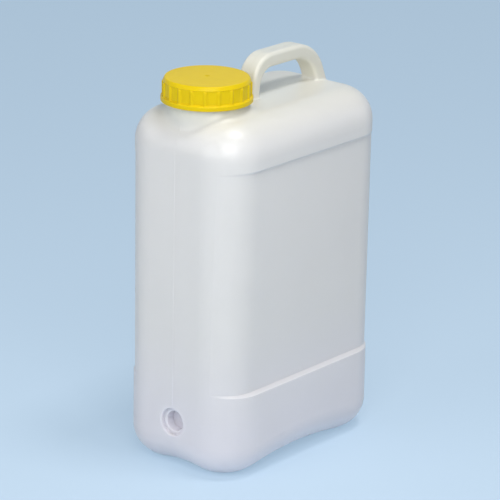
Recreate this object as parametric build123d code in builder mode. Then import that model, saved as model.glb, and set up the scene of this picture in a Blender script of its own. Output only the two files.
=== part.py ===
"""Wide-neck canister: a blown plastic canister with a moulded top handle, a ribbed
screw cap on its wide threaded neck, and the sealing ring that the cap presses on the rim.

Millimetres. X runs along the broad sides, Y through the canister's depth and Z up.
The origin is the middle of the base, on the surface that the feet stand on. The cap and
the seat for a tap are on the -X side.
"""

import os
from math import atan2, cos, hypot, radians, sin, tan

from build123d import *

# Blown body
body_length = 292.0
body_width = 178.0
body_height = 434.5
wall = 2.6
corner_radius = 50.0
shoulder_radius = 41.0
foot_radius = 38.0
blend_margin = 4.0

# Arches of the base between the feet, along the broad sides and along the narrow sides
arch_end_gap = 2.0
long_arch_rise = 7.0
long_arch_lead = 110.0
short_arch_rise = 3.4
short_arch_lead = 45.0

# Shallow panel in each broad side, with a sloping step at its foot and head
panel_bottom = 106.5
panel_top = 380.0
panel_depth_low = 5.0
panel_depth_high = 2.6
panel_step = 4.0
panel_run_out = 0.3
panel_margin = 0.6

# Neck and its coarse thread
neck_end_gap = 10.3
neck_radius = 46.0
neck_wall = 2.7
neck_rise = 36.5
neck_root = 23.5
neck_foot_fillet = 17.0
neck_rim_fillet = 0.6
thread_pitch = 6.0
thread_depth = 2.0
thread_root_width = 3.2
thread_crest_width = 1.6
thread_bite = 0.5
neck_thread_turns = 1.5
neck_thread_below_rim = 5.0

# Sealing ring between the cap and the neck's rim
ring_thickness = 2.2
ring_clearance = 0.5
ring_overhang = 1.8

# Screw cap
cap_height = 28.2
cap_top_wall = 2.4
cap_wall = 2.5
cap_flange_proud = 3.2
cap_flange_height = 6.0
cap_flange_edge = 2.0
cap_rim_over = 0.7
cap_rim_height = 4.8
cap_rim_taper = 2.3
cap_rim_edge = 2.4
thread_clearance = 0.5
thread_flank_gap = 0.45
cap_thread_turns = 1.0
cap_thread_root_width = 2.6
cap_thread_crest_width = 1.2
rib_count = 20
rib_start = 2.0
rib_radius = 2.5
rib_proud = 1.8
gate_radius = 3.0
gate_depth = 0.4
gate_pip_radius = 0.9

# Handle, blown hollow with the body; its ends are measured at the level of the body's top
handle_cap_gap = 15.0
handle_end_gap = 25.8
handle_height = 51.0
handle_near_lean = 5.0
handle_far_lean = 23.0
handle_near_corner = 33.0
handle_near_inner_corner = 22.0
handle_far_corner = 56.0
handle_thickness = 17.5
handle_near_thickness = 13.2
handle_width = 26.0
handle_edge = 4.6
handle_root = 14.0
handle_foot_fillet = 2.5

# Seat and blind socket for a tap, low on the narrow side under the neck
tap_height = 61.0
tap_seat_radius = 17.0
tap_seat_depth = 5.0
tap_socket_radius = 12.5
tap_socket_depth = 12.0
tap_rim_fillet = 1.2

# How far off its place an edge may lie and still be picked for a blend
pick_reach = 0.4

# Body and base
end_x = body_length / 2
side_y = body_width / 2
shoulder_blend = min(shoulder_radius, corner_radius - blend_margin)
foot_blend = min(foot_radius, corner_radius - blend_margin)
long_arch_half = end_x - corner_radius - arch_end_gap
short_arch_half = side_y - corner_radius - arch_end_gap
long_lead_radius = max(long_arch_lead, foot_blend + blend_margin)
short_lead_radius = max(short_arch_lead, foot_blend + blend_margin)

# Neck, ring and cap, which share one axis
neck_x = neck_radius + neck_end_gap - end_x
neck_axis = Plane(origin=(neck_x, 0, 0))
mouth_radius = neck_radius - neck_wall
neck_rim_z = body_height + neck_rise
neck_crest_radius = neck_radius + thread_depth
cap_bore_radius = neck_crest_radius + thread_clearance
cap_crest_radius = neck_radius + thread_clearance
cap_band_radius = cap_bore_radius + cap_wall
cap_rim_radius = cap_band_radius + cap_rim_over
cap_disc_radius = cap_rim_radius - cap_rim_taper
cap_flange_radius = cap_band_radius + cap_flange_proud
cap_ceiling_z = neck_rim_z + ring_thickness
cap_top_z = cap_ceiling_z + cap_top_wall
cap_bottom_z = cap_top_z - cap_height
cap_rim_z = cap_top_z - cap_rim_height
neck_thread_z = neck_rim_z - neck_thread_below_rim - thread_pitch * neck_thread_turns

# Handle and tap
handle_near_x = neck_x + cap_flange_radius + handle_cap_gap
handle_far_x = end_x - handle_end_gap
tap_seat_x = tap_seat_depth - end_x
tap_socket_x = tap_seat_x + tap_socket_depth


def arch_face(half_length, rise, lead_radius, half_span, bottom, top):
    """Side view of a block whose base arches up between two feet, as a flat face.

    One wide arc rises between the feet, and a short arc at each end leads into it.
    """
    share = 2 * rise * lead_radius / (half_length**2 + rise**2)
    swing = atan2(rise, half_length)
    lead_x = half_length - lead_radius * sin(swing)
    lead_z = bottom + lead_radius * (1 - cos(swing))
    turn_x = half_length * (1 - share)
    turn_z = bottom + share * rise
    with BuildSketch() as side:
        with BuildLine():
            ThreePointArc((-half_length, bottom), (-lead_x, lead_z), (-turn_x, turn_z))
            ThreePointArc((-turn_x, turn_z), (0, bottom + rise), (turn_x, turn_z))
            ThreePointArc((turn_x, turn_z), (lead_x, lead_z), (half_length, bottom))
            Polyline(
                (half_length, bottom),
                (half_span, bottom),
                (half_span, top),
                (-half_span, top),
                (-half_span, bottom),
                (-half_length, bottom),
            )
        make_face()
    return side.sketch_local


def panel_core(inset):
    """What the shallow panels leave: a core that is narrower across Y between the steps."""
    slope = panel_step / 2
    levels = [
        (panel_bottom - slope, -panel_margin),
        (panel_bottom + slope, panel_depth_low),
        (panel_top - slope, panel_depth_high),
        (panel_top + slope, -panel_margin),
    ]
    with BuildPart() as core:
        for level, depth in levels:
            with BuildSketch(Plane.XY.offset(level)):
                RectangleRounded(
                    body_length + 2 * (panel_run_out - inset),
                    body_width - 2 * (depth + inset),
                    corner_radius - depth - inset,
                )
        loft(ruled=True)
    return core.part


def panel_cutter(inset):
    """Material that the panels take off both broad sides."""
    core = panel_core(inset)
    with BuildPart() as cutter:
        with BuildSketch(Plane.XY.offset(panel_bottom - panel_step / 2)):
            Rectangle(body_length + corner_radius, body_width + corner_radius)
        extrude(amount=panel_top - panel_bottom + panel_step)
        add(core, mode=Mode.SUBTRACT)
    return cutter.part


def is_foot_edge(edge, inset):
    """True for a low edge that lies on the body's upright sides, drawn in by the inset."""
    middle = edge.position_at(0.5)
    past_x = max(abs(middle.X) - end_x + corner_radius, 0)
    past_y = max(abs(middle.Y) - side_y + corner_radius, 0)
    off_side = hypot(past_x, past_y) - corner_radius + inset
    return abs(off_side) < pick_reach and middle.Z < foot_blend


def body_form(inset):
    """Closed form of the body, drawn in by the inset on every side."""
    top = body_height - inset
    broad_view = arch_face(
        long_arch_half, long_arch_rise, long_lead_radius, body_length, inset, top
    )
    narrow_view = arch_face(
        short_arch_half, short_arch_rise, short_lead_radius, body_width, inset, top
    )
    cutter = panel_cutter(inset)
    with BuildPart() as form:
        with BuildSketch(Plane.XZ):
            add(broad_view)
        extrude(amount=body_width, both=True)
        with BuildSketch(Plane.YZ):
            add(narrow_view)
        extrude(amount=body_length, both=True, mode=Mode.INTERSECT)
        with BuildSketch(Plane.XY):
            RectangleRounded(
                body_length - 2 * inset, body_width - 2 * inset, corner_radius - inset
            )
        extrude(amount=body_height, mode=Mode.INTERSECT)
        fillet(form.faces().sort_by(Axis.Z)[-1].edges(), shoulder_blend - inset)
        foot_edges = form.edges().filter_by(lambda edge: is_foot_edge(edge, inset))
        fillet(foot_edges, foot_blend - inset)
        add(cutter, mode=Mode.SUBTRACT)
    return form.part


def handle_loop(near_depth, depth, near_corner):
    """Side view of the handle at a depth below its outer line, as a flat face.

    The near leg has its own depth and its own corner, because it is the thinner one.
    """
    top = handle_height - depth
    near_tan = tan(radians(handle_near_lean))
    far_tan = tan(radians(handle_far_lean))
    near_x = handle_near_x + near_depth * hypot(1, near_tan)
    far_x = handle_far_x - depth * hypot(1, far_tan)
    near_top_x = near_x + top * near_tan
    far_top_x = far_x - top * far_tan
    far_corner = handle_far_corner - depth
    corner_run = near_corner * tan(radians(90 - handle_near_lean) / 2)
    corner_run += far_corner * tan(radians(90 - handle_far_lean) / 2)
    corner_fit = min(1, 0.95 * (far_top_x - near_top_x) / corner_run)
    near_root = (near_x - handle_root * near_tan, body_height - handle_root)
    far_root = (far_x + handle_root * far_tan, body_height - handle_root)
    with BuildSketch() as loop:
        with BuildLine():
            FilletPolyline(
                near_root,
                (near_top_x, body_height + top),
                (far_top_x, body_height + top),
                far_root,
                radius=[near_corner * corner_fit, far_corner * corner_fit],
            )
            Line(far_root, near_root)
        make_face()
    return loop.sketch_local


def handle_form(inset):
    """Closed form of the handle and its two legs, drawn in by the inset on every side."""
    outer_loop = handle_loop(inset, inset, handle_near_corner - inset)
    inner_loop = handle_loop(
        handle_near_thickness - inset,
        handle_thickness - inset,
        handle_near_inner_corner + inset,
    )
    with BuildPart() as form:
        with BuildSketch(Plane.XZ):
            add(outer_loop)
        extrude(amount=handle_width / 2 - inset, both=True)
        with BuildSketch(Plane.XZ):
            add(inner_loop)
        extrude(amount=handle_width, both=True, mode=Mode.SUBTRACT)
        root_edges = form.faces().sort_by(Axis.Z)[:2].edges()
        rims = form.faces().filter_by(Axis.Y).edges() - root_edges
        fillet(rims, handle_edge - inset)
    return form.part


def ridge_half_width(radius, wall_radius, crest_radius, root_width, crest_width):
    """Half the width of a thread ridge at a radius between its wall and its crest."""
    share = (radius - wall_radius) / (crest_radius - wall_radius)
    return (root_width + share * (crest_width - root_width)) / 2


def thread_ridge(wall_radius, crest_radius, root_width, crest_width, turns, start_z):
    """Coarse ridge that winds up round the neck's axis, sunk a little into its wall."""
    depth = crest_radius - wall_radius
    sunk_radius = wall_radius - thread_bite * depth / abs(depth)
    sunk_half = ridge_half_width(
        sunk_radius, wall_radius, crest_radius, root_width, crest_width
    )
    with BuildPart() as ridge:
        with BuildLine() as path:
            Helix(
                thread_pitch, thread_pitch * turns, wall_radius, center=(neck_x, 0, start_z)
            )
        with BuildSketch(Plane.XZ):
            with BuildLine():
                Polyline(
                    (neck_x + sunk_radius, start_z - sunk_half),
                    (neck_x + crest_radius, start_z - crest_width / 2),
                    (neck_x + crest_radius, start_z + crest_width / 2),
                    (neck_x + sunk_radius, start_z + sunk_half),
                    close=True,
                )
            make_face()
        sweep(path=path.line, is_frenet=True)
    return ridge.part


def is_neck_foot(edge):
    """True for an edge that runs round the foot of the neck's barrel."""
    middle = edge.position_at(0.5)
    off_wall = hypot(middle.X - neck_x, middle.Y) - neck_radius
    return abs(off_wall) < pick_reach and middle.Z < body_height + pick_reach


def is_mouth_foot(edge):
    """True for an edge where the bore of the neck opens into the body."""
    middle = edge.position_at(0.5)
    off_wall = hypot(middle.X - neck_x, middle.Y) - mouth_radius
    return abs(off_wall) < pick_reach and middle.Z < body_height - wall + pick_reach


def is_handle_foot(edge):
    """True for an edge where a leg of the handle meets the body."""
    middle = edge.position_at(0.5)
    in_width = abs(middle.Y) < handle_width / 2 + pick_reach
    return in_width and abs(middle.Z - body_height) < handle_root - pick_reach


def is_tap_rim(edge):
    """True for the outer rim of the tap's seat and for that of its socket."""
    seat_rim = abs(edge.arc_center.X + end_x) < pick_reach
    socket_rim = abs(edge.arc_center.X - tap_seat_x) < pick_reach
    on_seat = abs(edge.radius - tap_seat_radius) < pick_reach
    on_socket = abs(edge.radius - tap_socket_radius) < pick_reach
    return (seat_rim and on_seat) or (socket_rim and on_socket)


def tap_plug(radius, inner_x):
    """Round block on the tap's axis, from the body's narrow side in to a place on X."""
    with BuildPart() as plug:
        with BuildSketch(Plane.YZ.offset(-end_x)):
            with Locations((0, tap_height)):
                Circle(radius)
        extrude(amount=inner_x + end_x)
    return plug.part


# Threads: the cap's ridge runs just under the neck's ridge and pulls the cap down
neck_ridge_sizes = (neck_radius, neck_crest_radius, thread_root_width, thread_crest_width)
cap_ridge_sizes = (
    cap_bore_radius, cap_crest_radius, cap_thread_root_width, cap_thread_crest_width
)
flank_reach = max(
    ridge_half_width(radius, *neck_ridge_sizes) + ridge_half_width(radius, *cap_ridge_sizes)
    for radius in (cap_crest_radius, neck_crest_radius)
)
cap_thread_z = neck_thread_z - flank_reach - thread_flank_gap
neck_ridge = thread_ridge(*neck_ridge_sizes, neck_thread_turns, neck_thread_z)
cap_ridge = thread_ridge(*cap_ridge_sizes, cap_thread_turns, cap_thread_z)

# Outer and inner forms of the canister
body_outside = body_form(0)
body_inside = body_form(wall)
handle_outside = handle_form(0)
handle_inside = handle_form(wall)
seat_space = tap_plug(tap_seat_radius, tap_seat_x)
seat_backing = tap_plug(tap_seat_radius + wall, tap_seat_x + wall)
socket_space = tap_plug(tap_socket_radius, tap_socket_x)
socket_backing = tap_plug(tap_socket_radius + wall, tap_socket_x + wall)

# Space inside: body, bore of the neck and hollow of the handle, less the tap's backing
with BuildPart() as cavity:
    add(body_inside)
    with BuildSketch(neck_axis.offset(neck_rim_z)):
        Circle(mouth_radius)
    extrude(amount=-neck_rise - neck_root)
    fillet(cavity.edges(Select.LAST).filter_by(is_mouth_foot), neck_foot_fillet + wall)
    add(handle_inside)
    add(seat_backing, mode=Mode.SUBTRACT)
    add(socket_backing, mode=Mode.SUBTRACT)

# Canister: one blown piece with its neck, handle and tap seat
with BuildPart() as canister:
    add(body_outside)
    with BuildSketch(neck_axis.offset(neck_rim_z)):
        Circle(neck_radius)
    extrude(amount=-neck_rise - neck_root)
    fillet(canister.edges(Select.LAST).filter_by(is_neck_foot), neck_foot_fillet)
    add(handle_outside)
    fillet(canister.edges(Select.LAST).filter_by(is_handle_foot), handle_foot_fillet)
    add(cavity.part, mode=Mode.SUBTRACT)
    neck_rim = canister.faces().filter_by_position(Axis.Z, neck_rim_z, neck_rim_z)
    fillet(neck_rim.edges(), neck_rim_fillet)
    add(neck_ridge)
    add(seat_space, mode=Mode.SUBTRACT)
    add(socket_space, mode=Mode.SUBTRACT)
    fillet(
        canister.edges().filter_by(GeomType.CIRCLE).filter_by(is_tap_rim), tap_rim_fillet
    )

# Sealing ring: flat, on the neck's rim under the cap's top
with BuildPart() as sealing_ring:
    with BuildSketch(neck_axis.offset(neck_rim_z)):
        Circle(cap_bore_radius - ring_clearance)
        Circle(mouth_radius - ring_overhang, mode=Mode.SUBTRACT)
    extrude(amount=ring_thickness)

# Screw cap: flange, ribbed grip band, tapered rim, top, and the thread inside
with BuildPart() as screw_cap:
    with BuildSketch(neck_axis.offset(cap_bottom_z)):
        Circle(cap_flange_radius)
    extrude(amount=cap_flange_height)
    fillet(screw_cap.edges().sort_by(Axis.Z)[-1], cap_flange_edge)
    with BuildSketch(neck_axis.offset(cap_bottom_z)):
        Circle(cap_band_radius)
    extrude(amount=cap_rim_z - cap_bottom_z)
    with BuildSketch(neck_axis.offset(cap_rim_z)):
        Circle(cap_rim_radius)
    with BuildSketch(neck_axis.offset(cap_top_z)):
        Circle(cap_disc_radius)
    loft()
    fillet(screw_cap.edges().sort_by(Axis.Z)[-1], cap_rim_edge)
    rib_line = cap_band_radius + rib_proud - rib_radius
    with BuildSketch(neck_axis.offset(cap_bottom_z)):
        with PolarLocations(rib_line, rib_count, rib_start):
            Circle(rib_radius)
    extrude(amount=cap_rim_z - rib_radius - cap_bottom_z)
    with Locations(neck_axis.offset(cap_rim_z - rib_radius)):
        with PolarLocations(rib_line, rib_count, rib_start):
            Sphere(rib_radius)
    with BuildSketch(neck_axis.offset(cap_bottom_z)):
        Circle(cap_bore_radius)
    extrude(amount=cap_ceiling_z - cap_bottom_z, mode=Mode.SUBTRACT)
    with BuildSketch(neck_axis.offset(cap_top_z)):
        Circle(gate_radius)
        Circle(gate_pip_radius, mode=Mode.SUBTRACT)
    extrude(amount=-gate_depth, mode=Mode.SUBTRACT)
    add(cap_ridge)

canister.part.label = "canister"
sealing_ring.part.label = "sealing_ring"
screw_cap.part.label = "screw_cap"

os.makedirs("parts", exist_ok=True)
export_step(canister.part, "parts/canister.step")
export_step(sealing_ring.part, "parts/sealing_ring.step")
export_step(screw_cap.part, "parts/screw_cap.step")
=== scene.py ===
"""Looks of the wide-neck canister: milky blown body, ribbed yellow cap and sealing ring.

Everything is in metres in the part's own frame: X along the broad sides, Y through the
depth and Z up, with the neck, the cap and the tap seat towards -X. Sizes of small pieces
are given in millimetres and turned into metres where a mesh is made.
"""

import logging
import math
from dataclasses import dataclass
from enum import Enum
from typing import Any, Callable, Iterator, Mapping, Optional, Sequence, Union

import bmesh
import bpy
from mathutils import Matrix, Vector
from mathutils.bvhtree import BVHTree


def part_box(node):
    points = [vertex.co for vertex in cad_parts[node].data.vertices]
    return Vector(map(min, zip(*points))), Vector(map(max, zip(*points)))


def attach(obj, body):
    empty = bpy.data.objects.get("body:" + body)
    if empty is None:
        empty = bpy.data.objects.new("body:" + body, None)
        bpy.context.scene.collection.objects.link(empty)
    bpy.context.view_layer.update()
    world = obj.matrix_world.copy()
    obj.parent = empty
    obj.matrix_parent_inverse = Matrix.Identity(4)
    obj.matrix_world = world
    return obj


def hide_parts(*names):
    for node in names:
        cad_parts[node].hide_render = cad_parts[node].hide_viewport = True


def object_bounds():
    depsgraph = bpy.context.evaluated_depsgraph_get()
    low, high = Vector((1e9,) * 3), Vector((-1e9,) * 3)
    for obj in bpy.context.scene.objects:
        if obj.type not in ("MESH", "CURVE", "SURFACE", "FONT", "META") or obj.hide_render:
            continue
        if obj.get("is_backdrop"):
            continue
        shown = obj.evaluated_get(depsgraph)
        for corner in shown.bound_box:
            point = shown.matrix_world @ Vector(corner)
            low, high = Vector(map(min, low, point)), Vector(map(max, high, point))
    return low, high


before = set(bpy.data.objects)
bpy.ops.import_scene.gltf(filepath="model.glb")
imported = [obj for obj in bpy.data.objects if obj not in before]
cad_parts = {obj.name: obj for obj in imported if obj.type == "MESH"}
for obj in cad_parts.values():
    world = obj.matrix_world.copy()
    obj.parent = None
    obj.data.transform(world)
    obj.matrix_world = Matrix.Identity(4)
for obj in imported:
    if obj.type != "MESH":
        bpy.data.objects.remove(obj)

log = logging.getLogger("canister")

Rgb = tuple[float, float, float]
Point = tuple[float, float, float]
Span = tuple[float, float]

MILLIMETRE = 0.001
NOISE_MIDDLE = 0.5
WHOLE_TURN = 360.0


class Slot(Enum):
    """Material slots of the record."""

    CANISTER = "canister"
    CAP = "cap"
    SEAL = "seal"


class Body(Enum):
    """Moving bodies of the record."""

    CANISTER = "canister"
    RING = "ring"
    CAP = "cap"


class Solid(Enum):
    """Solids that come with the frame."""

    CANISTER = "canister"
    CAP = "screw_cap"
    RING = "sealing_ring"


def direction(azimuth: float, elevation: float) -> Vector:
    """Direction from the object to where a lamp or the camera stands.

    Args:
        azimuth: Degrees from the front, which is -Y, towards +X.
        elevation: Degrees above the floor.

    Returns:
        A vector of length 1.
    """
    turn, lift = math.radians(azimuth), math.radians(elevation)
    level = math.cos(lift)
    return Vector((math.sin(turn) * level, -math.cos(turn) * level, math.sin(lift)))


class Wire:
    """A value in a node tree, on which Python's operators add Math nodes."""

    def __init__(self, tree: "Tree", socket: bpy.types.NodeSocket) -> None:
        """Wraps an output socket of a tree.

        Args:
            tree: The tree that the socket belongs to.
            socket: The output socket that carries the value.
        """
        self.tree = tree
        self.socket = socket

    def math(self, operation: str, *others: Union["Wire", float], swap: bool = False) -> "Wire":
        """Adds a Math node on this value.

        Args:
            operation: The node's operation.
            others: The other operands.
            swap: Whether the first of the others comes before this value.

        Returns:
            The node's result.
        """
        operands: list[Union[Wire, float]] = [self, *others]
        if swap:
            operands[:2] = operands[1::-1]
        return self.tree.node(
            "ShaderNodeMath", {"operation": operation}, dict(enumerate(operands))
        )

    def __add__(self, other: Union["Wire", float]) -> "Wire":
        """Sum of two values."""
        return self.math("ADD", other)

    def __sub__(self, other: Union["Wire", float]) -> "Wire":
        """Difference of two values."""
        return self.math("SUBTRACT", other)

    def __rsub__(self, other: float) -> "Wire":
        """Number less this value."""
        return self.math("SUBTRACT", other, swap=True)

    def __mul__(self, other: Union["Wire", float]) -> "Wire":
        """Product of two values."""
        return self.math("MULTIPLY", other)

    def __truediv__(self, other: Union["Wire", float]) -> "Wire":
        """Quotient of two values."""
        return self.math("DIVIDE", other)

    def __rtruediv__(self, other: float) -> "Wire":
        """Number divided by this value."""
        return self.math("DIVIDE", other, swap=True)

    __radd__ = __add__
    __rmul__ = __mul__

    def root(self) -> "Wire":
        """Square root of this value."""
        return self.math("SQRT")

    def size(self) -> "Wire":
        """This value without its sign."""
        return self.math("ABSOLUTE")

    def over(self, low: Union["Wire", float]) -> "Wire":
        """The larger of this value and a limit."""
        return self.math("MAXIMUM", low)

    def under(self, high: Union["Wire", float]) -> "Wire":
        """The smaller of this value and a limit."""
        return self.math("MINIMUM", high)

    def rise(self, low: float, high: float) -> "Wire":
        """Smooth step of this value, from 0 at the low limit to 1 at the high one."""
        return self.tree.node(
            "ShaderNodeMapRange",
            {"interpolation_type": "SMOOTHSTEP"},
            {"Value": self, "From Min": low, "From Max": high},
        )


Input = Union[Wire, float, Sequence[float], bool]


class Tree:
    """A node tree under construction."""

    def __init__(self, tree: bpy.types.NodeTree) -> None:
        """Starts from an empty tree.

        Args:
            tree: Blender's own tree.
        """
        self.tree = tree

    def node(
        self,
        kind: str,
        settings: Optional[Mapping[str, Any]] = None,
        inputs: Optional[Mapping[Union[str, int], Input]] = None,
        output: Union[str, int] = 0,
    ) -> Wire:
        """Adds a node, sets it up and links it.

        Args:
            kind: The node's type.
            settings: The node's own properties, set before its sockets.
            inputs: Values or wires for the input sockets, by name or number.
            output: The output socket to return.

        Returns:
            The chosen output.
        """
        made = self.tree.nodes.new(kind)
        for name, value in (settings or {}).items():
            setattr(made, name, value)
        for key, value in (inputs or {}).items():
            if isinstance(value, Wire):
                self.tree.links.new(value.socket, made.inputs[key])
            else:
                made.inputs[key].default_value = value
        return Wire(self, made.outputs[output] if made.outputs else None)


def shown(tree: Tree) -> Wire:
    """Marks the rays whose end the picture shows.

    Args:
        tree: The tree of a material or of the world.

    Returns:
        1 for camera, mirror and glass rays, and 0 for the rest.
    """
    camera, mirror, glass = (
        tree.node("ShaderNodeLightPath", output=f"Is {kind} Ray")
        for kind in ("Camera", "Glossy", "Transmission")
    )
    return (camera + mirror + glass).under(1.0)


@dataclass(frozen=True)
class Pattern:
    """Noise over a piece.

    It has its cells in a metre, its octaves, how far it is moved, its stretch along each
    axis, and the heights between which its patches fade in.
    """

    scale: float
    detail: float = 2.0
    offset: float = 0.0
    stretch: Point = (1.0, 1.0, 1.0)
    fade: Span = (0.0, 1.0)


class Shader(Tree):
    """A material under construction."""

    def __init__(self, name: str) -> None:
        """Starts an empty material.

        Args:
            name: The material's name.
        """
        self.material = bpy.data.materials.new(name)
        self.material.use_nodes = True
        super().__init__(self.material.node_tree)
        self.tree.nodes.clear()
        self.place = self.node("ShaderNodeTexCoord", output="Object")

    def axis(self, name: str) -> Wire:
        """One coordinate of the object's own space, in metres."""
        return self.node("ShaderNodeSeparateXYZ", None, {0: self.place}, name)

    def noise(self, pattern: Pattern) -> Wire:
        """Noise over the object's own space.

        Args:
            pattern: Its scale, detail and place.

        Returns:
            The noise, from 0 to 1.
        """
        moved = self.node(
            "ShaderNodeMapping",
            None,
            {"Vector": self.place, "Location": (pattern.offset,) * 3, "Scale": pattern.stretch},
        )
        inputs = {"Vector": moved, "Scale": pattern.scale, "Detail": pattern.detail}
        return self.node("ShaderNodeTexNoise", None, inputs, "Fac")

    def patches(self, pattern: Pattern) -> Wire:
        """Soft patches where the noise is high."""
        return self.noise(pattern).rise(*pattern.fade)

    def mix(self, mask: Input, first: Union[Wire, Rgb], second: Union[Wire, Rgb]) -> Wire:
        """Colour between two others.

        Args:
            mask: Share of the second colour.
            first: Colour where the mask is 0.
            second: Colour where the mask is 1.

        Returns:
            The mixed colour.
        """
        near, far = (c if isinstance(c, Wire) else (*c, 1.0) for c in (first, second))
        return self.node("ShaderNodeMix", {"data_type": "RGBA"}, {0: mask, 6: near, 7: far}, 2)

    def bump(self, height: Wire, distance: float, under: Optional[Wire] = None) -> Wire:
        """Surface relief.

        Args:
            height: Height pattern, from 0 to 1.
            distance: Height of the relief, in metres.
            under: Normal that the relief lies on.

        Returns:
            The bent normal.
        """
        inputs: dict[Union[str, int], Input] = {"Height": height, "Distance": distance}
        if under is not None:
            inputs["Normal"] = under
        return self.node("ShaderNodeBump", None, inputs)

    def finish(self, inputs: Mapping[Union[str, int], Input]) -> bpy.types.Material:
        """Closes the material with one surface.

        Args:
            inputs: Values or wires of the surface shader.

        Returns:
            The material.
        """
        return self.close(self.node("ShaderNodeBsdfPrincipled", None, inputs))

    def close(self, surface: Wire) -> bpy.types.Material:
        """Ends the material with a finished surface."""
        self.node("ShaderNodeOutputMaterial", None, {"Surface": surface})
        return self.material


class Recipe(Tree):
    """A Geometry Nodes tree that turns a guide mesh into a finished piece."""

    SOCKETS = {
        float: "NodeSocketFloat",
        int: "NodeSocketInt",
        bpy.types.Material: "NodeSocketMaterial",
    }

    def __init__(self, name: str, sizes: Mapping[str, Any]) -> None:
        """Starts a tree with a guide, named sizes and a finished piece.

        Args:
            name: The tree's name.
            sizes: Values of the tree's named inputs.
        """
        super().__init__(bpy.data.node_groups.new(name, "GeometryNodeTree"))
        self.sizes = sizes
        face = self.tree.interface
        face.new_socket("Guide", in_out="INPUT", socket_type="NodeSocketGeometry")
        for label, value in sizes.items():
            face.new_socket(label, in_out="INPUT", socket_type=self.SOCKETS[type(value)])
        face.new_socket("Piece", in_out="OUTPUT", socket_type="NodeSocketGeometry")
        self.entry = self.tree.nodes.new("NodeGroupInput")

    def __getitem__(self, label: str) -> Wire:
        """One of the tree's named inputs."""
        return Wire(self, self.entry.outputs[label])

    def close(self, shape: Wire) -> None:
        """Ends the tree.

        Args:
            shape: The piece before its material.
        """
        smooth = self.node("GeometryNodeSetShadeSmooth", None, {"Geometry": shape})
        plain = self.node("GeometryNodeRealizeInstances", None, {"Geometry": smooth})
        dressed = self.node(
            "GeometryNodeSetMaterial", None, {"Geometry": plain, "Material": self["Material"]}
        )
        self.node("NodeGroupOutput", None, {"Piece": dressed})

    def make(self, name: str, guide: bpy.types.Mesh) -> bpy.types.Object:
        """Runs the tree on a guide and keeps the result as a plain mesh.

        Args:
            name: The piece's name.
            guide: The mesh that the tree starts from.

        Returns:
            The finished piece, at the origin.
        """
        piece = bpy.data.objects.new(name, guide)
        bpy.context.scene.collection.objects.link(piece)
        modifier = piece.modifiers.new("recipe", "NODES")
        modifier.node_group = self.tree
        for item in self.tree.interface.items_tree:
            if item.in_out == "INPUT" and item.name in self.sizes:
                modifier[item.identifier] = self.sizes[item.name]
        ready = piece.evaluated_get(bpy.context.evaluated_depsgraph_get())
        mesh = bpy.data.meshes.new_from_object(ready)
        piece.modifiers.remove(modifier)
        piece.data = mesh
        mesh.name = name
        bpy.data.meshes.remove(guide)
        log.info("made %s with %d faces", name, len(mesh.polygons))
        return piece


def wire_mesh(
    name: str, points: Sequence[Sequence[float]], edges: Sequence[tuple[int, int]]
) -> bpy.types.Mesh:
    """Guide mesh of points and edges.

    Args:
        name: The mesh's name.
        points: Places of its points.
        edges: Pairs of points that are joined.

    Returns:
        The mesh.
    """
    mesh = bpy.data.meshes.new(name)
    mesh.from_pydata([tuple(point) for point in points], list(edges), [])
    return mesh


@dataclass(frozen=True)
class MilkyPlastic:
    """Natural blown polyethylene: white, satin, a little translucent.

    Towards the neck, shoulder and handle the colour is warmer, a painted yellow bounce of light
    from the cap, and towards the base it is cooler, a painted reflection of the blue floor with
    painted shade.
    """

    title: str = "milky_polyethylene"
    colour: Rgb = (0.825, 0.81, 0.80)
    # painted yellow bounce light from the cap, laid on the colour from the shoulder up to the neck
    # and handle
    painted_cap_bounce: Rgb = (0.775, 0.765, 0.66)
    # painted reflection of the blue floor and painted shade, laid on the colour towards the base
    painted_floor_reflection: Rgb = (0.82, 0.79, 0.90)
    clouded: Rgb = (0.72, 0.725, 0.72)
    painted_cap_bounce_heights: Span = (0.405, 0.452)
    painted_floor_reflection_heights: Span = (0.02, 0.20)
    painted_floor_reflection_share: float = 0.75
    clouds: Pattern = Pattern(9.0, 3.0, fade=(0.35, 0.75))
    cloud_share: float = 0.15
    roughness: float = 0.34
    rubbing: Pattern = Pattern(60.0, 3.0, 1.7)
    roughness_swing: float = 0.08
    waves: Pattern = Pattern(11.0, 1.0)
    wave_height: float = 0.0009
    streaks: Pattern = Pattern(90.0, 2.0, 5.3, (1.0, 1.0, 0.05))
    streak_height: float = 0.00006
    grain: Pattern = Pattern(750.0, 2.0, 3.1)
    grain_height: float = 0.00003
    ior: float = 1.51
    depth: Point = (0.012, 0.012, 0.013)
    glow: float = 0.5

    def build(self) -> bpy.types.Material:
        """Makes the material."""
        shader = Shader(self.title)
        height = shader.axis("Z")
        # painted yellow bounce from the cap: the colour turns warmer with height near the neck and
        # handle
        painted_cap_bounce_mask = height.rise(*self.painted_cap_bounce_heights)
        # painted floor reflection and shade: the colour turns cooler towards the bottom
        painted_floor_reflection_mask = (1.0 - height.rise(*self.painted_floor_reflection_heights)) * self.painted_floor_reflection_share
        clouds = shader.patches(self.clouds) * self.cloud_share
        colour = shader.mix(painted_cap_bounce_mask, self.colour, self.painted_cap_bounce)
        colour = shader.mix(painted_floor_reflection_mask, colour, self.painted_floor_reflection)
        colour = shader.mix(clouds, colour, self.clouded)
        waves = shader.bump(shader.noise(self.waves), self.wave_height)
        drawn = shader.bump(shader.noise(self.streaks), self.streak_height, waves)
        grain = shader.bump(shader.noise(self.grain), self.grain_height, drawn)
        rubbed = shader.noise(self.rubbing) - NOISE_MIDDLE
        return shader.finish(
            {
                "Base Color": colour,
                "Roughness": rubbed * self.roughness_swing + self.roughness,
                "IOR": self.ior,
                "Subsurface Weight": self.glow,
                "Subsurface Radius": self.depth,
                "Subsurface Scale": 1.0,
                "Normal": grain,
            }
        )


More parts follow.
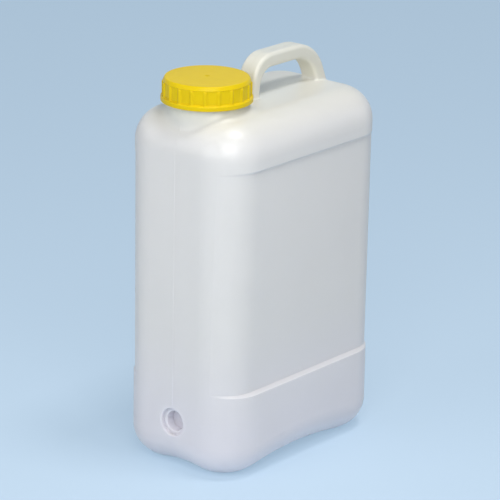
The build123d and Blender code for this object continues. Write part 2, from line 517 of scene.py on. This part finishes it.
@dataclass(frozen=True)
class CapPlastic:
    """Moulded yellow plastic of the cap, semi-gloss on its side and duller on its top."""

    colour: Rgb = (0.73, 0.535, 0.006)
    deep: Rgb = (0.62, 0.43, 0.005)
    clouds: Pattern = Pattern(38.0, 3.0, fade=(0.4, 0.8))
    cloud_share: float = 0.25
    roughness: float = 0.27
    rubbing: Pattern = Pattern(120.0, 2.0, 0.4)
    roughness_swing: float = 0.06
    dull_top: float = 0.12
    gloss: float = 0.12
    top_band: Span = (0.0012, 0.0004)
    grain: Pattern = Pattern(900.0)
    grain_height: float = 0.00004
    ior: float = 1.49
    depth: Point = (0.003, 0.002, 0.0006)
    glow: float = 0.12

    def build(self) -> bpy.types.Material:
        """Makes the material."""
        shader = Shader("yellow_polypropylene")
        clouds = shader.patches(self.clouds) * self.cloud_share
        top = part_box(Solid.CAP.value)[1].z
        on_top = shader.axis("Z").rise(*(top - below for below in self.top_band))
        rubbed = shader.noise(self.rubbing) * self.roughness_swing
        return shader.finish(
            {
                "Base Color": shader.mix(clouds, self.colour, self.deep),
                "Roughness": on_top * self.dull_top + rubbed + self.roughness,
                "IOR": self.ior,
                "Specular IOR Level": self.gloss,
                "Subsurface Weight": self.glow,
                "Subsurface Radius": self.depth,
                "Subsurface Scale": 1.0,
                "Normal": shader.bump(shader.noise(self.grain), self.grain_height),
            }
        )


@dataclass(frozen=True)
class SealRubber:
    """Pale soft rubber of the sealing ring."""

    colour: Rgb = (0.60, 0.585, 0.55)
    worn: Rgb = (0.50, 0.48, 0.45)
    speckle: Pattern = Pattern(420.0, 3.0, fade=(0.45, 0.7))
    wear_share: float = 0.3
    roughness: float = 0.62
    relief: float = 0.00005

    def build(self) -> bpy.types.Material:
        """Makes the material."""
        shader = Shader("pale_rubber")
        wear = shader.patches(self.speckle) * self.wear_share
        return shader.finish(
            {
                "Base Color": shader.mix(wear, self.colour, self.worn),
                "Roughness": self.roughness,
                "Normal": shader.bump(shader.noise(self.speckle), self.relief),
            }
        )


@dataclass(frozen=True)
class Corner:
    """Corner of the cap's section: its radius, height and rounding, in millimetres."""

    radius: float
    height: float
    rounding: float = 0.0

    @property
    def place(self) -> Vector:
        """The corner's place in the section."""
        return Vector((self.radius, self.height))


@dataclass(frozen=True)
class CapMoulding:
    """Screw cap, turned from one section, with ribs outside and a thread inside.

    Heights are above the cap's lower edge. All sizes are in millimetres.
    """

    flange_height: float = 6.0
    flange_edge: float = 2.0
    band_radius: float = 51.0
    band_foot: float = 0.7
    rim_radius: float = 51.7
    rim_height: float = 4.8
    disc_radius: float = 49.4
    disc_edge: float = 2.4
    bore_radius: float = 48.5
    top_wall: float = 2.4
    gate_radius: float = 3.0
    gate_depth: float = 0.4
    gate_edge: float = 0.4 / 3
    pip_radius: float = 0.9
    soft_edge: float = 0.4
    arc_steps: int = 5
    edge_margin: float = 0.15
    row_step: float = 0.55
    merge: float = 0.01
    sectors: int = 400
    rib_count: int = 20
    rib_start: float = 2.0
    rib_radius: float = 2.5
    rib_sink: float = 0.7
    rib_blend: float = 0.5
    rib_squeeze: float = 3.0
    thread_pitch: float = 6.0
    thread_start: float = 7.15
    thread_depth: float = 2.0
    thread_root: float = 2.6
    thread_crest: float = 1.2
    thread_lead: float = 0.05

    def corners(self, height: float, flange_radius: float) -> list[Corner]:
        """Corners of the section, from the middle of the top to that of the ceiling.

        Args:
            height: The cap's height.
            flange_radius: The flange's radius.

        Returns:
            The corners in order.
        """
        rim_foot = height - self.rim_height
        gate_floor = height - self.gate_depth
        ceiling = height - self.top_wall
        return [
            Corner(0.0, height),
            Corner(self.pip_radius, height, self.gate_edge),
            Corner(self.pip_radius, gate_floor, self.gate_edge),
            Corner(self.gate_radius, gate_floor, self.gate_edge),
            Corner(self.gate_radius, height, self.gate_edge),
            Corner(self.disc_radius, height, self.disc_edge),
            Corner(self.rim_radius, rim_foot, self.soft_edge),
            Corner(self.band_radius, rim_foot - self.soft_edge, self.soft_edge),
            Corner(self.band_radius, self.flange_height, self.band_foot),
            Corner(flange_radius, self.flange_height, self.flange_edge),
            Corner(flange_radius, 0.0, self.soft_edge),
            Corner(self.bore_radius, 0.0, self.soft_edge),
            Corner(self.bore_radius, ceiling, self.soft_edge),
            Corner(0.0, ceiling),
        ]

    def rounded(self, before: Corner, corner: Corner, after: Corner) -> list[Vector]:
        """Points round one corner of the section.

        Args:
            before: The corner before it.
            corner: The corner.
            after: The corner after it.

        Returns:
            The corner itself where it is sharp, and otherwise the points of its arc with
            one more just before and just after.
        """
        if not corner.rounding:
            return [corner.place]
        back = (before.place - corner.place).normalized()
        ahead = (after.place - corner.place).normalized()
        half = math.acos(back.dot(ahead)) / 2
        reach = corner.rounding / math.tan(half)
        centre = corner.place + (back + ahead).normalized() * corner.rounding / math.sin(half)
        start = corner.place + back * reach - centre
        sweep = start.angle_signed(corner.place + ahead * reach - centre)
        arc = [
            centre + Matrix.Rotation(-sweep * step / self.arc_steps, 2) @ start
            for step in range(self.arc_steps + 1)
        ]
        margin = self.edge_margin
        before_arc = corner.place + back * (reach + margin)
        after_arc = corner.place + ahead * (reach + margin)
        return [before_arc, *arc, after_arc]

    def section(self, height: float, flange_radius: float) -> list[Vector]:
        """Points of the section, with close rows on its upright walls.

        Args:
            height: The cap's height.
            flange_radius: The flange's radius.

        Returns:
            Radius and height of each point, in order.
        """
        corners = self.corners(height, flange_radius)
        points = [corners[0].place]
        for trio in zip(corners, corners[1:], corners[2:]):
            points += self.rounded(*trio)
        points.append(corners[-1].place)
        rows = [points[0]]
        for here, there in zip(points, points[1:]):
            upright = abs(there.x - here.x) < self.edge_margin
            parts = max(1, math.ceil(abs(there.y - here.y) / self.row_step)) if upright else 1
            rows += [here.lerp(there, part / parts) for part in range(1, parts + 1)]
        return rows

    def rib_rise(self, recipe: Recipe, radius: Wire, height: Wire, share: Wire) -> Wire:
        """How far the ribs push the grip band out.

        Args:
            recipe: The cap's tree.
            radius: Radius of a point of the section.
            height: Height of the point.
            share: Share of the turn at which the point lies.

        Returns:
            The push along the radius.
        """
        step = 1.0 / recipe["Rib Count"]
        turned = share - recipe["Rib Start"]
        across = turned.math("WRAP", step * 0.5, step * -0.5) * math.tau * recipe["Band Radius"]
        end = (height - (recipe["Rib Top"] - recipe["Rib Radius"])).over(0.0)
        left = recipe["Rib Radius"] * recipe["Rib Radius"] - across * across - end * end
        proud = left.over(0.0).root() - recipe["Rib Sink"]
        soft = proud.math("SMOOTH_MAX", 0.0, recipe["Rib Blend"])
        past_band = (radius - recipe["Band Radius"]).over(0.0)
        fade = (1.0 - past_band / recipe["Rib Squeeze"]).over(0.0)
        outside = radius.math("GREATER_THAN", recipe["Band Radius"] - self.edge_margin * MILLIMETRE)
        above = height.math("GREATER_THAN", recipe["Rib Foot"])
        below = height.math("LESS_THAN", recipe["Rib Top"])
        return soft * fade * outside * above * below

    def thread_rise(self, recipe: Recipe, radius: Wire, height: Wire, share: Wire) -> Wire:
        """How far the thread pushes the bore in.

        Args:
            recipe: The cap's tree.
            radius: Radius of a point of the section.
            height: Height of the point.
            share: Share of the turn at which the point lies.

        Returns:
            The push along the radius.
        """
        middle = recipe["Thread Start"] + recipe["Thread Pitch"] * share
        flank = (recipe["Thread Root"] - recipe["Thread Crest"]) * 0.5
        inside = recipe["Thread Root"] * 0.5 - (height - middle).size()
        ridge = (inside / flank).over(0.0).under(1.0) * recipe["Thread Depth"]
        ends = share.rise(0.0, self.thread_lead) * (1.0 - share.rise(1.0 - self.thread_lead, 1.0))
        off_bore = (radius - recipe["Bore Radius"]).size()
        on_bore = off_bore.math("LESS_THAN", self.edge_margin * MILLIMETRE)
        return ridge * ends * on_bore

    def sizes(self, rows: int, material: bpy.types.Material) -> dict[str, Any]:
        """Values of the tree's named inputs, lengths in metres.

        Args:
            rows: How many points the section has.
            material: The cap's finish.

        Returns:
            The values by name.
        """
        low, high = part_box(Solid.CAP.value)
        lengths = {
            "Band Radius": self.band_radius,
            "Bore Radius": self.bore_radius,
            "Rib Radius": self.rib_radius,
            "Rib Sink": self.rib_sink,
            "Rib Blend": self.rib_blend,
            "Rib Squeeze": self.rib_squeeze,
            "Rib Foot": self.flange_height - self.soft_edge,
            "Rib Top": (high.z - low.z) / MILLIMETRE - self.rim_height,
            "Thread Pitch": self.thread_pitch,
            "Thread Start": self.thread_start,
            "Thread Depth": self.thread_depth,
            "Thread Root": self.thread_root,
            "Thread Crest": self.thread_crest,
        }
        return {
            **{label: value * MILLIMETRE for label, value in lengths.items()},
            "Rib Count": self.rib_count,
            "Rib Start": self.rib_start / WHOLE_TURN,
            "Sectors": self.sectors,
            "Rows": rows,
            "Axis X": (low.x + high.x) / 2,
            "Axis Y": (low.y + high.y) / 2,
            "Base Z": low.z,
            "Material": material,
        }

    def skin(self, recipe: Recipe) -> Wire:
        """Turns the section into a closed skin with ribs and thread.

        Args:
            recipe: The cap's tree.

        Returns:
            The skin.
        """
        grid = recipe.node(
            "GeometryNodeMeshGrid",
            None,
            {
                "Size X": 1.0,
                "Size Y": 1.0,
                "Vertices X": recipe["Sectors"] + 1.0,
                "Vertices Y": recipe["Rows"],
            },
        )
        spot = recipe.node("GeometryNodeInputPosition")
        share = 0.5 - recipe.node("ShaderNodeSeparateXYZ", None, {0: spot}, "X")
        along = recipe.node("ShaderNodeSeparateXYZ", None, {0: spot}, "Y") + 0.5
        row = (along * (recipe["Rows"] - 1.0)).math("ROUND")
        place = recipe.node(
            "GeometryNodeSampleIndex",
            {"data_type": "FLOAT_VECTOR", "domain": "POINT"},
            {"Geometry": recipe["Guide"], "Value": spot, "Index": row},
        )
        radius = recipe.node("ShaderNodeSeparateXYZ", None, {0: place}, "X")
        height = recipe.node("ShaderNodeSeparateXYZ", None, {0: place}, "Z")
        ribs = self.rib_rise(recipe, radius, height, share)
        thread = self.thread_rise(recipe, radius, height, share)
        pushed = radius + ribs - thread
        angle = share * math.tau
        turned = recipe.node(
            "ShaderNodeCombineXYZ",
            None,
            {
                "X": pushed * angle.math("COSINE") + recipe["Axis X"],
                "Y": pushed * angle.math("SINE") + recipe["Axis Y"],
                "Z": height + recipe["Base Z"],
            },
        )
        skin = recipe.node(
            "GeometryNodeSetPosition", None, {"Geometry": grid, "Position": turned}
        )
        return recipe.node(
            "GeometryNodeMergeByDistance",
            None,
            {"Geometry": skin, "Distance": self.merge * MILLIMETRE},
        )

    def build(self, material: bpy.types.Material) -> bpy.types.Object:
        """Makes the cap where the frame's own cap is.

        Args:
            material: The cap's finish.

        Returns:
            The finished cap.
        """
        low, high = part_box(Solid.CAP.value)
        tall, wide = ((high[axis] - low[axis]) / MILLIMETRE for axis in (2, 0))
        rows = self.section(tall, wide / 2)
        recipe = Recipe("cap_turning", self.sizes(len(rows), material))
        recipe.close(self.skin(recipe))
        points = [(at.x * MILLIMETRE, 0.0, at.y * MILLIMETRE) for at in rows]
        return recipe.make("cap_moulding", wire_mesh("cap_section", points, []))


@dataclass(frozen=True)
class PartingSeam:
    """Fine raised line where the halves of the blow mould met, in the plane Y = 0.

    It is found by rays on the canister's own surface. Sizes are in millimetres, angles in
    degrees from +X towards +Z, and places in metres in the plane of the seam.
    """

    half_width: float = 0.7
    height: float = 0.12
    sides: int = 12
    step: float = 2.0
    reach: float = 0.6
    rays_per_degree: float = 2.0
    body_middle: Span = (0.0, 0.2)
    neck_to_seat: Span = (121.5, 219.2)
    seat_to_handle: Span = (227.6, 422.6)
    handle_middle: Span = (0.045, 0.452)
    handle_outside: Span = (-10.0, 191.0)
    handle_inside: Span = (0.0, 359.0)
    bridge: Span = (-0.0425, -0.0225)
    bridge_rays: int = 14

    def fan(
        self, cast: Callable[[Vector, Vector], Vector], middle: Span, span: Span, outward: bool
    ) -> list[Vector]:
        """Points where a fan of rays in the plane of the seam meets the surface.

        Args:
            cast: Finds where a ray meets the surface.
            middle: The point that the fan turns about.
            span: First and last angle of the fan.
            outward: Whether the rays start in the middle of the fan.

        Returns:
            The points in order.
        """
        centre = Vector((middle[0], 0.0, middle[1]))
        count = round(abs(span[1] - span[0]) * self.rays_per_degree)
        points = []
        for number in range(count + 1):
            angle = math.radians(span[0] + (span[1] - span[0]) * number / count)
            away = Vector((math.cos(angle), 0.0, math.sin(angle)))
            far = centre + away * self.reach
            points.append(cast(centre, away) if outward else cast(far, -away))
        return points

    def runs(self) -> Iterator[tuple[list[Vector], bool]]:
        """Lines of the seam on the surface.

        Yields:
            The points of a line, and whether it closes on itself.
        """
        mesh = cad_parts[Solid.CANISTER.value].data
        surface = BVHTree.FromPolygons(
            [vertex.co for vertex in mesh.vertices],
            [tuple(face.vertices) for face in mesh.polygons],
        )

        def cast(start: Vector, heading: Vector) -> Vector:
            """Where a ray from a point first meets the canister."""
            return surface.ray_cast(start, heading)[0]

        yield self.fan(cast, self.body_middle, self.neck_to_seat, False), False
        yield self.fan(cast, self.body_middle, self.seat_to_handle, False), False
        yield self.fan(cast, self.handle_middle, self.handle_outside, False), False
        yield self.fan(cast, self.handle_middle, self.handle_inside, True), True
        first, last = self.bridge
        above = [
            Vector((first + (last - first) * number / self.bridge_rays, 0.0, self.reach))
            for number in range(self.bridge_rays + 1)
        ]
        yield [cast(start, Vector((0.0, 0.0, -1.0))) for start in above], False

    def guide(self) -> bpy.types.Mesh:
        """Mesh of the seam's lines.

        Returns:
            Points joined by edges, one chain for each line.
        """
        points: list[Vector] = []
        edges: list[tuple[int, int]] = []
        for line, closed in self.runs():
            first = len(points)
            points += line
            edges += [(number, number + 1) for number in range(first, len(points) - 1)]
            if closed:
                edges.append((len(points) - 1, first))
        return wire_mesh("seam_lines", points, edges)

    def build(self, material: bpy.types.Material) -> bpy.types.Object:
        """Makes the seam on the canister.

        Args:
            material: The canister's finish.

        Returns:
            The finished seam.
        """
        recipe = Recipe(
            "seam_sweep",
            {
                "Half Width": self.half_width * MILLIMETRE,
                "Height": self.height * MILLIMETRE,
                "Step": self.step * MILLIMETRE,
                "Sides": self.sides,
                "Material": material,
            },
        )
        lines = recipe.node("GeometryNodeMeshToCurve", None, {"Mesh": recipe["Guide"]})
        even = recipe.node(
            "GeometryNodeResampleCurve",
            {"mode": "LENGTH"},
            {"Curve": lines, "Length": recipe["Step"]},
        )
        level = recipe.node(
            "GeometryNodeSetCurveNormal",
            {"mode": "FREE"},
            {"Curve": even, "Normal": (0.0, 1.0, 0.0)},
        )
        ring = recipe.node(
            "GeometryNodeCurvePrimitiveCircle",
            {"mode": "RADIUS"},
            {"Resolution": recipe["Sides"], "Radius": 1.0},
        )
        flat = recipe.node(
            "ShaderNodeCombineXYZ",
            None,
            {"X": recipe["Half Width"], "Y": recipe["Height"], "Z": 1.0},
        )
        lens = recipe.node("GeometryNodeTransform", None, {"Geometry": ring, "Scale": flat})
        recipe.close(
            recipe.node(
                "GeometryNodeCurveToMesh",
                None,
                {"Curve": level, "Profile Curve": lens, "Fill Caps": True},
            )
        )
        return recipe.make("parting_seam", self.guide())


@dataclass(frozen=True)
class StudioFloor:
    """Plain pale floor, which keeps its tone far from the lamps."""

    colour: Rgb = (0.66, 0.77, 0.88)
    shade: Rgb = (0.64, 0.75, 0.87)
    shade_share: float = 0.04
    roughness: float = 0.8
    half_size: float = 8.0
    cells: int = 4
    clouds: Pattern = Pattern(0.7, fade=(0.3, 0.7))
    tone: Rgb = (0.50, 0.69, 0.88)
    tone_share: float = 0.6

    def build(self) -> None:
        """Lays the floor under the object."""
        shader = Shader("pale_floor")
        clouds = shader.patches(self.clouds) * self.shade_share
        colour = shader.mix(clouds, self.colour, self.shade)
        lit = shader.node(
            "ShaderNodeBsdfPrincipled", None, {"Base Color": colour, "Roughness": self.roughness}
        )
        even = shader.node("ShaderNodeEmission", None, {"Color": (*self.tone, 1.0)})
        share = shown(shader) * self.tone_share
        surface = shader.node("ShaderNodeMixShader", None, {0: share, 1: lit, 2: even})
        material = shader.close(surface)
        sheet = bmesh.new()
        bmesh.ops.create_grid(
            sheet, x_segments=self.cells, y_segments=self.cells, size=self.half_size
        )
        mesh = bpy.data.meshes.new("floor")
        sheet.to_mesh(mesh)
        sheet.free()
        mesh.materials.append(material)
        floor = bpy.data.objects.new("floor", mesh)
        bpy.context.scene.collection.objects.link(floor)
        floor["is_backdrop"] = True


@dataclass(frozen=True)
class Lamp:
    """Square softbox that points at the object."""

    name: str
    azimuth: float
    elevation: float
    distance: float
    size: float
    power: float
    colour: Rgb = (1.0, 1.0, 1.0)

    def build(self, target: Vector) -> None:
        """Hangs the softbox.

        Args:
            target: The point that the softbox faces.
        """
        away = direction(self.azimuth, self.elevation)
        light = bpy.data.lights.new(self.name, "AREA")
        light.shape = "SQUARE"
        light.size = self.size
        light.energy = self.power
        light.color = self.colour
        lamp = bpy.data.objects.new(self.name, light)
        lamp.location = target + away * self.distance
        lamp.rotation_mode = "QUATERNION"
        lamp.rotation_quaternion = (-away).to_track_quat("-Z", "Y")
        bpy.context.scene.collection.objects.link(lamp)


@dataclass(frozen=True)
class Viewpoint:
    """Camera at the photograph's viewing angle."""

    azimuth: float = -50.62
    elevation: float = 18.42
    roll: float = 1.04
    distance: float = 3.6763
    aim: Point = (-0.00577, 0.0, 0.24234)
    lens: float = 220.02
    sensor: float = 36.0
    far: float = 100.0

    def build(self) -> None:
        """Sets up the scene's camera."""
        back = direction(self.azimuth, self.elevation)
        data = bpy.data.cameras.new("camera")
        data.lens = self.lens
        data.sensor_width = self.sensor
        data.clip_end = self.far
        camera = bpy.data.objects.new("camera", data)
        place = Matrix.Translation(Vector(self.aim) + back * self.distance)
        facing = (-back).to_track_quat("-Z", "Y").to_matrix().to_4x4()
        camera.matrix_world = place @ facing @ Matrix.Rotation(math.radians(self.roll), 4, "Z")
        bpy.context.scene.collection.objects.link(camera)
        bpy.context.scene.camera = camera


@dataclass(frozen=True)
class Studio:
    """Floor, softboxes, sky light and camera."""

    lamps: tuple[Lamp, ...] = (
        Lamp("key_softbox", 6.0, 74.0, 2.4, 0.6, 24.0),
        Lamp("fill_softbox", -48.0, 34.0, 1.4, 0.8, 10.0),
        Lamp("side_softbox", -106.0, 18.0, 1.6, 0.8, 4.6),
    )
    sky: Rgb = (1.0, 0.955, 0.93)
    sky_strength: float = 0.27
    backdrop: Rgb = (0.50, 0.69, 0.88)

    def build(self) -> None:
        """Sets up everything that isn't the object."""
        Viewpoint().build()
        StudioFloor().build()
        low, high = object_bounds()
        for lamp in self.lamps:
            lamp.build((low + high) / 2)
        world = bpy.data.worlds.new("studio")
        world.use_nodes = True
        world.node_tree.nodes.clear()
        air = Tree(world.node_tree)
        sky = air.node(
            "ShaderNodeBackground",
            None,
            {"Color": (*self.sky, 1.0), "Strength": self.sky_strength},
        )
        wall = air.node("ShaderNodeBackground", None, {"Color": (*self.backdrop, 1.0)})
        seen = air.node("ShaderNodeMixShader", None, {0: shown(air), 1: sky, 2: wall})
        air.node("ShaderNodeOutputWorld", None, {"Surface": seen})
        scene = bpy.context.scene
        scene.world = world
        scene.view_settings.view_transform = "Standard"


def dress(solid: Solid, material: bpy.types.Material) -> None:
    """Gives a solid of the frame its material.

    Args:
        solid: The solid.
        material: The finish that it takes.
    """
    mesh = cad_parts[solid.value].data
    mesh.materials.clear()
    mesh.materials.append(material)
    log.info("dressed %s with %s", solid.value, material.name)


def main() -> None:
    """Builds the scene round the frame."""
    logging.basicConfig(level=logging.INFO, format="%(name)s: %(message)s")
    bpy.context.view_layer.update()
    Studio().build()
    milky = MilkyPlastic().build()
    yellow = CapPlastic().build()
    dress(Solid.CANISTER, milky)
    dress(Solid.RING, SealRubber().build())
    dress(Solid.CAP, yellow)
    cap = CapMoulding().build(yellow)
    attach(cap, Body.CAP.value)
    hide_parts(Solid.CAP.value)
    opaque = MilkyPlastic("seam_polyethylene", glow=0.0).build()
    seam = PartingSeam().build(opaque)
    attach(seam, Body.CANISTER.value)


if __name__ == "__main__":
    main()
